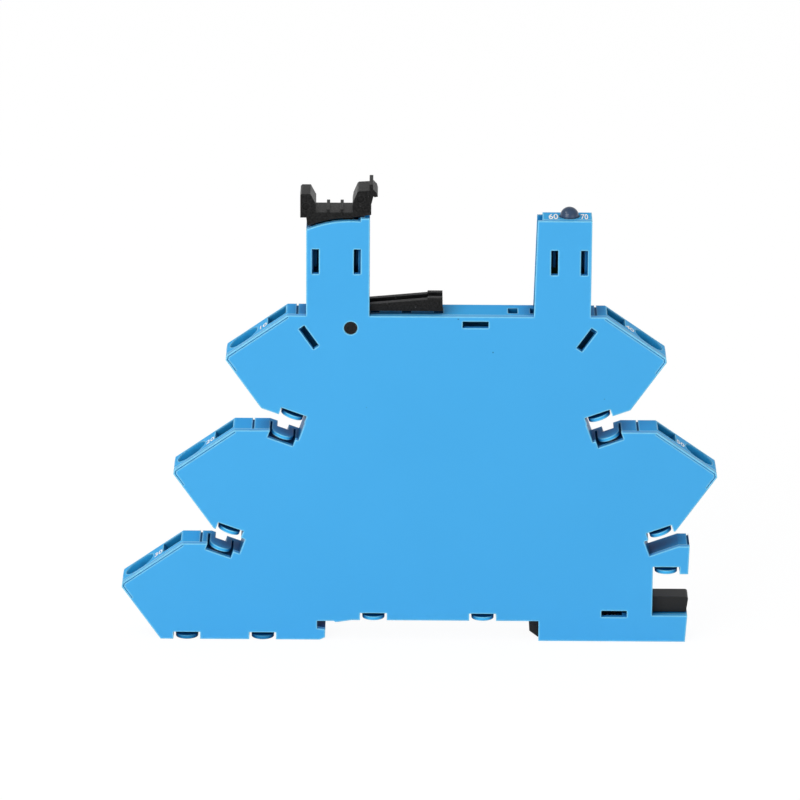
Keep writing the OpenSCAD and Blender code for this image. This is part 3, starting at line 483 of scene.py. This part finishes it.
shell_corners = [vertex.co for vertex in nodes["base_shell"].data.vertices]
mounts = {mount["name"]: mount for mount in frame["record"]["mounts"]}


def face_tip(middle, facing, downhill):
    """The lowest corner of the sloping face round a wire entry."""
    near = 0.006                                 # reaches from the entry past the tip
    level = 0.000005                             # how far off the face a corner may be
    corners = [c for c in shell_corners if (c - middle).length < near]
    face_height = max(corner.dot(facing) for corner in corners)
    face = [c for c in corners if c.dot(facing) > face_height - level]
    return max(face, key=downhill.dot)


from_tip = 0.00695                               # along the face to the number's middle
to_cover = -0.0008                               # from the wire entry's middle
for count in range(1, 6):
    entry = mounts[f"wire_entry_{count}"]
    middle = Vector(entry["pos_m"])
    facing = Vector(entry["axis"]).normalized()
    along = Vector((facing.z, 0, -facing.x))
    downhill = along * math.copysign(1, facing.x)
    place = face_tip(middle, facing, downhill) - downhill * from_tip
    place.y = middle.y + to_cover
    print_number(f"{count}0", place, along, height=0.0015, squeeze=0.75)

tower_y = -0.0008                                # in front of the socket's middle
lamp_low, lamp_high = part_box("indicator_led")
lamp_x = (lamp_low[0] + lamp_high[0]) / 2
tower_top = max(corner.z for corner in shell_corners if corner.x > lamp_x)
for text, aside, squeeze in (("60", -0.00255, 0.42), ("70", 0.00235, 0.32)):
    place = Vector((lamp_x + aside, tower_y, tower_top))
    print_number(text, place, Vector((1, 0, 0)), height=0.0026, squeeze=squeeze)

# ---------------------------------------------------------------- studio
# A white room: a wide pale floor under the feet, an even sky, a softbox on each side of
# the camera and a small one high up on the left.


def studio_floor():
    """A wide pale floor that keeps a soft shadow and runs out to white."""
    reach = 3
    white_share = 0.9                            # the rest is the floor's own shading
    mesh = bpy.data.meshes.new("floor")
    corners = [(-reach, -reach, 0), (reach, -reach, 0), (reach, reach, 0), (-reach, reach, 0)]
    mesh.from_pydata(corners, [], [(0, 1, 2, 3)])
    floor = bpy.data.objects.new("floor", mesh)
    floor.location = (0, 0, cad_box[0][2])
    bpy.context.scene.collection.objects.link(floor)
    material = bpy.data.materials.new("pale_floor")
    material.use_nodes = True
    tree = material.node_tree
    shader = tree.nodes["Principled BSDF"]
    shader.inputs["Base Color"].default_value = (0.86, 0.86, 0.86, 1)
    shader.inputs["Roughness"].default_value = 0.9
    shader.inputs["Specular IOR Level"].default_value = 0.1
    path = tree.nodes.new("ShaderNodeLightPath")
    seen = maths(tree, "MAXIMUM", path.outputs["Is Camera Ray"],
                 path.outputs["Is Glossy Ray"])
    seen = maths(tree, "MAXIMUM", seen, path.outputs["Is Transmission Ray"])
    white = add_node(tree, "ShaderNodeEmission", Color=(1, 1, 1, 1), Strength=1.04)
    blend = tree.nodes.new("ShaderNodeMixShader")
    tree.links.new(maths(tree, "MULTIPLY", seen, white_share), blend.inputs[0])
    tree.links.new(shader.outputs[0], blend.inputs[1])
    tree.links.new(white.outputs[0], blend.inputs[2])
    tree.links.new(blend.outputs[0], tree.nodes["Material Output"].inputs["Surface"])
    mesh.materials.append(material)


def studio_sky():
    """A sky that is white where it is seen and low down in a gloss, and faint as a light."""
    daylight = 0.6
    gloss_top = 0.2                              # sine of the angle where the gloss is dim
    world = bpy.data.worlds.new("studio")
    bpy.context.scene.world = world
    world.use_nodes = True
    tree = world.node_tree
    tree.nodes.clear()
    path = tree.nodes.new("ShaderNodeLightPath")
    seen = maths(tree, "MAXIMUM", path.outputs["Is Camera Ray"],
                 path.outputs["Is Transmission Ray"])
    way = tree.nodes.new("ShaderNodeTexCoord")
    height = tree.nodes.new("ShaderNodeSeparateXYZ")
    tree.links.new(way.outputs["Generated"], height.inputs[0])
    low = add_node(tree, "ShaderNodeMapRange", From_Min=0, From_Max=gloss_top, To_Min=1,
                   To_Max=0)
    tree.links.new(height.outputs["Z"], low.inputs["Value"])
    gloss = maths(tree, "MULTIPLY", path.outputs["Is Glossy Ray"], low.outputs["Result"])
    seen = maths(tree, "MAXIMUM", seen, gloss)
    light = add_node(tree, "ShaderNodeBackground", Color=(1, 1, 1, 1), Strength=daylight)
    white = add_node(tree, "ShaderNodeBackground", Color=(1, 1, 1, 1), Strength=1)
    blend = tree.nodes.new("ShaderNodeMixShader")
    output = tree.nodes.new("ShaderNodeOutputWorld")
    tree.links.new(seen, blend.inputs[0])
    tree.links.new(light.outputs[0], blend.inputs[1])
    tree.links.new(white.outputs[0], blend.inputs[2])
    tree.links.new(blend.outputs[0], output.inputs["Surface"])


def soft_lamp(name, place, size, power):
    """A square softbox that faces a place near the socket's middle."""
    aim = Vector((0, 0, 0.035))
    lamp = bpy.data.lights.new(name, "AREA")
    lamp.shape = "SQUARE"
    lamp.size = size
    lamp.energy = power
    piece = bpy.data.objects.new(name, lamp)
    piece.location = place
    piece.rotation_euler = (aim - Vector(place)).to_track_quat("-Z", "Y").to_euler()
    bpy.context.scene.collection.objects.link(piece)


studio_floor()
studio_sky()
soft_lamp("key_lamp", (-0.35, -0.5, 0.32), size=0.4, power=1.75)
soft_lamp("fill_lamp", (0.7, -0.9, 0.25), size=0.8, power=1.6)
soft_lamp("top_lamp", (-0.6, -0.17, 0.85), size=0.25, power=1.2)
bpy.context.scene.view_settings.view_transform = "Standard"
